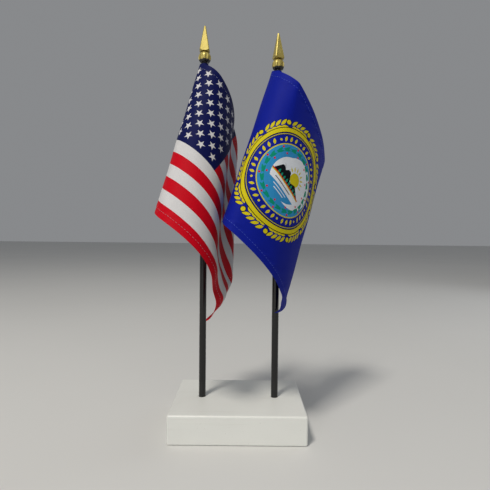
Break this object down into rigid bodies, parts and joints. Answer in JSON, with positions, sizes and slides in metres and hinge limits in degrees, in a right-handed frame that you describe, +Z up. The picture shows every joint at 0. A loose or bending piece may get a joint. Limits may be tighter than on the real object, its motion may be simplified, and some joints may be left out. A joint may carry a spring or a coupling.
{
  "type": "desk flag stand",
  "caption": "Rectangular tabletop block holding round staffs topped by spear finials, each with a small hanging rectangular cloth flag.",
  "frame": {"origin": "middle of the base block's underside, on the surface it stands on", "axes": "+Z up along the staffs, +X to the right as seen from the front, +Y to the back; the base block's long side runs along X"},
  "size_m": [0.1145, 0.0839, 0.2763],
  "materials": {
    "white_painted_wood": "satin white paint, softly rounded edges",
    "black_staff_plastic": "gloss black",
    "gold_finial_plastic": "gold paint over black moulded plastic",
    "left_flag_print": "printed polyester: red and white stripes, dark blue canton with white stars",
    "right_flag_print": "printed polyester: royal blue with a gold, green and sky blue round emblem",
    "left_sleeve_print": "printed polyester, dark blue over stripes",
    "right_sleeve_print": "printed polyester, royal blue",
    "left_hem_thread": "white polyester thread",
    "right_hem_thread": "blue polyester thread"
  },
  "bodies": {
    "base": {"base_block": "white_painted_wood"},
    "left_staff": {"left_staff": "black_staff_plastic", "left_finial": "gold_finial_plastic"},
    "right_staff": {"right_staff": "black_staff_plastic", "right_finial": "gold_finial_plastic"},
    "left_flag": {"left_flag_sleeve": "left_sleeve_print", "left_flag_cloth": "left_flag_print", "left_hem_thread": "left_hem_thread"},
    "right_flag": {"right_flag_sleeve": "right_sleeve_print", "right_flag_cloth": "right_flag_print", "right_hem_thread": "right_hem_thread"}
  },
  "joints": [
    {"name": "left_staff_lift", "type": "slide", "parent": "base", "child": "left_staff", "axis": [0, 0, 1], "range_m": [0, 0.012]},
    {"name": "right_staff_lift", "type": "slide", "parent": "base", "child": "right_staff", "axis": [0, 0, 1], "range_m": [0, 0.016]},
    {"name": "left_flag_turn", "type": "hinge", "parent": "left_staff", "child": "left_flag", "pos_m": [-0.0254, 0, 0.2], "axis": [0, 0, -1], "range_deg": [0, 20]},
    {"name": "right_flag_turn", "type": "hinge", "parent": "right_staff", "child": "right_flag", "pos_m": [0.0254, 0, 0.195], "axis": [0, 0, 1], "range_deg": [0, 75]}
  ]
}
